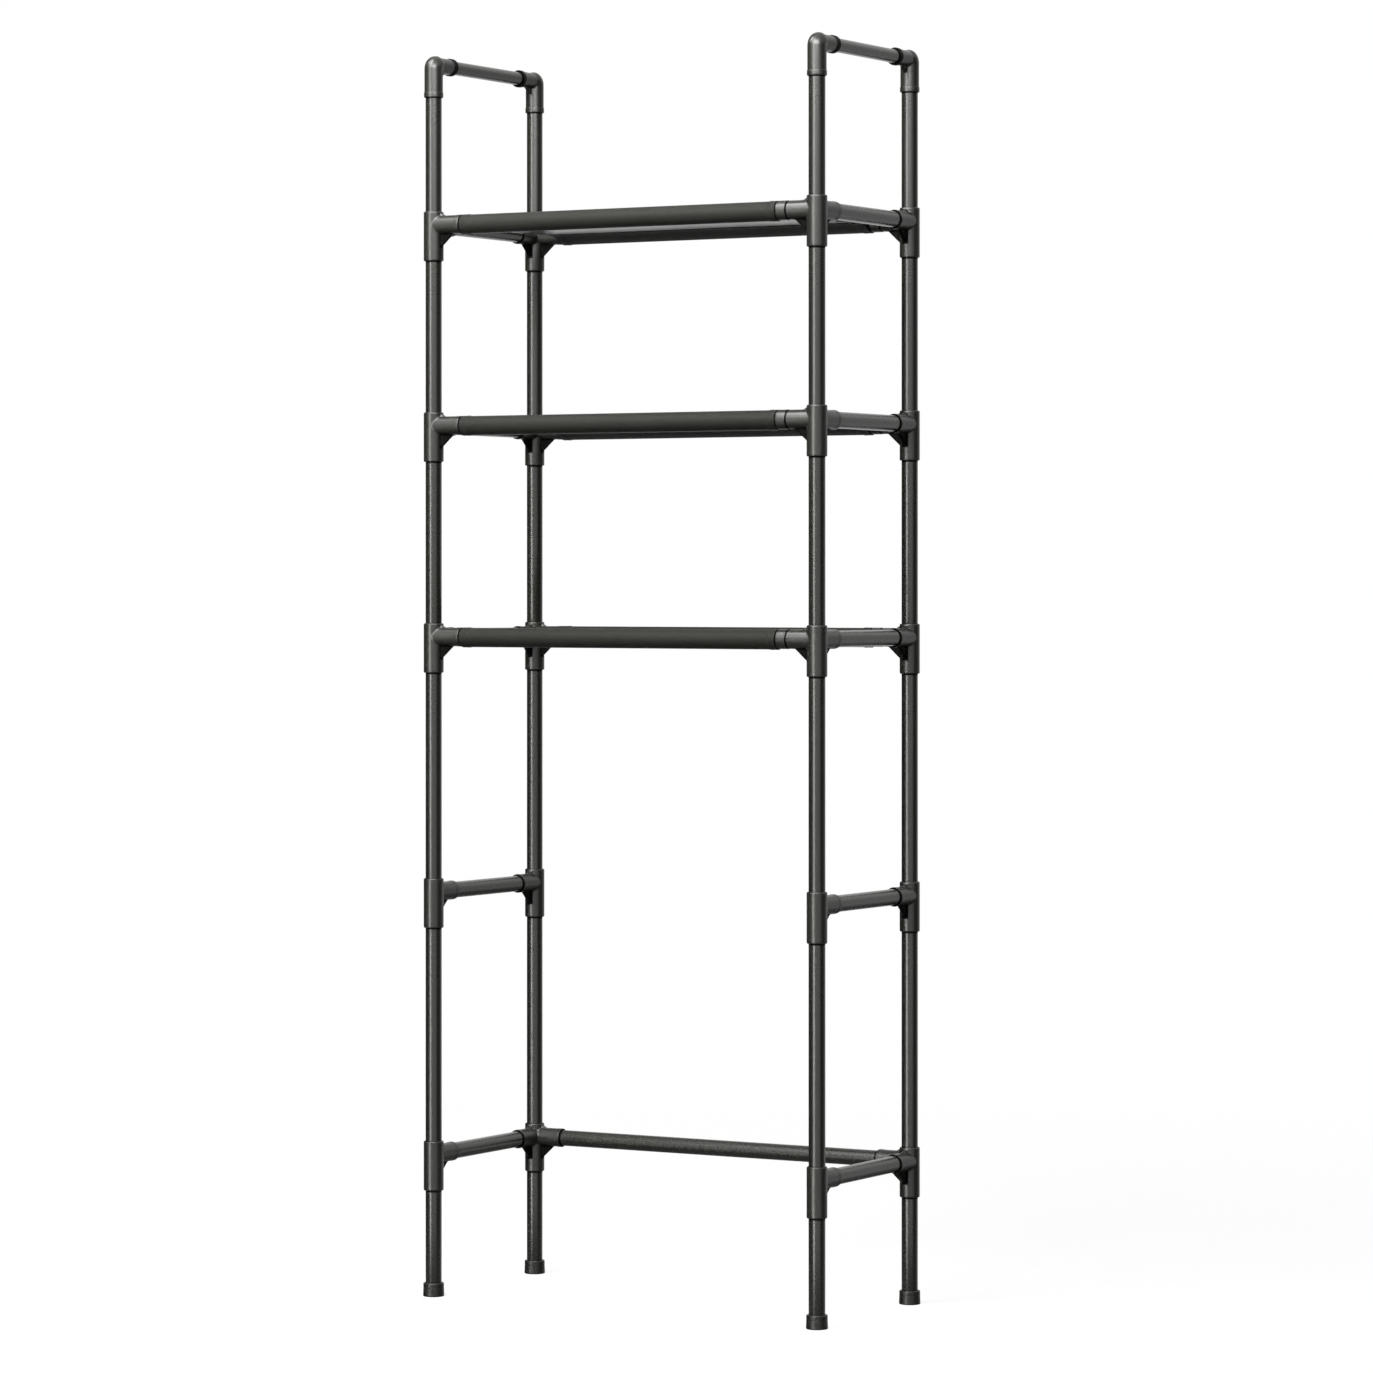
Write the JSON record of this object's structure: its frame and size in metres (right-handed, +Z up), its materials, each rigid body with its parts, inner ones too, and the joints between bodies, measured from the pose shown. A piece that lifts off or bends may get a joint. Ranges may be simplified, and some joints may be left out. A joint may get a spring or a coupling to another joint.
{
  "type": "over-the-toilet shelf",
  "caption": "Free-standing over-the-toilet rack of dark push-fit tubes and moulded connectors, with fabric shelves above an open bay and raised side loops.",
  "frame": {"origin": "on the floor, in the middle of the four feet", "axes": "+Z up, +X to the right seen from the front, +Y to the rear, towards the wall"},
  "size_m": [0.5394, 0.2494, 1.4615],
  "materials": {
    "post_tube": "satin",
    "bar_tube": "satin",
    "connector_plastic": "satin",
    "foot_plastic": "matte",
    "shelf_fabric": "matte"
  },
  "bodies": {
    "root": {"post_front_left_lower": "post_tube", "post_front_left_upper": "post_tube", "post_front_right_lower": "post_tube", "post_front_right_upper": "post_tube", "post_rear_left_lower": "post_tube", "post_rear_left_upper": "post_tube", "post_rear_right_lower": "post_tube", "post_rear_right_upper": "post_tube", "bottom_shelf_side_bar_left": "bar_tube", "bottom_shelf_side_bar_right": "bar_tube", "middle_shelf_side_bar_left": "bar_tube", "middle_shelf_side_bar_right": "bar_tube", "top_shelf_side_bar_left": "bar_tube", "top_shelf_side_bar_right": "bar_tube", "top_side_bar_left": "bar_tube", "top_side_bar_right": "bar_tube", "leg_rail_side_bar_left": "bar_tube", "leg_rail_side_bar_right": "bar_tube", "base_rail_side_bar_left": "bar_tube", "base_rail_side_bar_right": "bar_tube", "bottom_shelf_front_bar": "bar_tube", "bottom_shelf_rear_bar": "bar_tube", "middle_shelf_front_bar": "bar_tube", "middle_shelf_rear_bar": "bar_tube", "top_shelf_front_bar": "bar_tube", "top_shelf_rear_bar": "bar_tube", "base_rail_rear_bar": "bar_tube", "bottom_shelf_corner_front_left": "connector_plastic", "middle_shelf_corner_front_left": "connector_plastic", "top_shelf_corner_front_left": "connector_plastic", "bottom_shelf_corner_front_right": "connector_plastic", "middle_shelf_corner_front_right": "connector_plastic", "top_shelf_corner_front_right": "connector_plastic", "bottom_shelf_corner_rear_left": "connector_plastic", "middle_shelf_corner_rear_left": "connector_plastic", "top_shelf_corner_rear_left": "connector_plastic", "base_rail_corner_rear_left": "connector_plastic", "bottom_shelf_corner_rear_right": "connector_plastic", "middle_shelf_corner_rear_right": "connector_plastic", "top_shelf_corner_rear_right": "connector_plastic", "base_rail_corner_rear_right": "connector_plastic", "leg_rail_tee_front_left": "connector_plastic", "base_rail_tee_front_left": "connector_plastic", "leg_rail_tee_front_right": "connector_plastic", "base_rail_tee_front_right": "connector_plastic", "leg_rail_tee_rear_left": "connector_plastic", "leg_rail_tee_rear_right": "connector_plastic", "top_elbow_front_left": "connector_plastic", "top_elbow_front_right": "connector_plastic", "top_elbow_rear_left": "connector_plastic", "top_elbow_rear_right": "connector_plastic", "foot_cap_front_left": "foot_plastic", "foot_cap_front_right": "foot_plastic", "foot_cap_rear_left": "foot_plastic", "foot_cap_rear_right": "foot_plastic", "bottom_shelf_fabric": "shelf_fabric", "middle_shelf_fabric": "shelf_fabric", "top_shelf_fabric": "shelf_fabric"}
  },
  "joints": []
}
